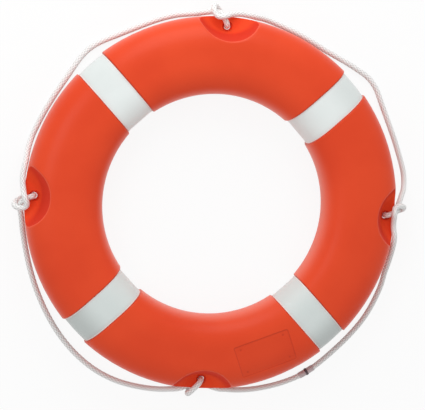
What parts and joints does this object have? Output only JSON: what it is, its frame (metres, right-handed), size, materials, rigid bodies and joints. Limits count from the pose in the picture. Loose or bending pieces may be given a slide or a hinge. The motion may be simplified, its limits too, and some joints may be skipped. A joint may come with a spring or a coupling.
{
  "type": "life ring",
  "caption": "Moulded orange life ring with white reflective bands and a white grab line hitched through pockets in its outer edge.",
  "frame": {"origin": "centre of the ring, on the surface that its back lies on", "axes": "+Z is the ring's axis, out of its front face; +X runs through the middle of one rope pocket and +Y through the next"},
  "size_m": [0.8091, 0.8002, 0.116],
  "materials": {
    "orange_shell": "satin moulded polyethylene",
    "foam": "closed-cell foam",
    "plug": "satin",
    "reflective": "reflective sheeting with a soft sheen",
    "line": "braided rope",
    "sleeve": "shrunk tube",
    "band": "wound tape"
  },
  "bodies": {
    "root": {"shell": "orange_shell", "foam_core": "foam", "port_plug": "plug", "reflective_tape_1": "reflective", "reflective_tape_2": "reflective", "reflective_tape_3": "reflective", "reflective_tape_4": "reflective", "grab_line": "line", "joint_sleeve": "sleeve", "joint_band": "band"}
  },
  "joints": []
}
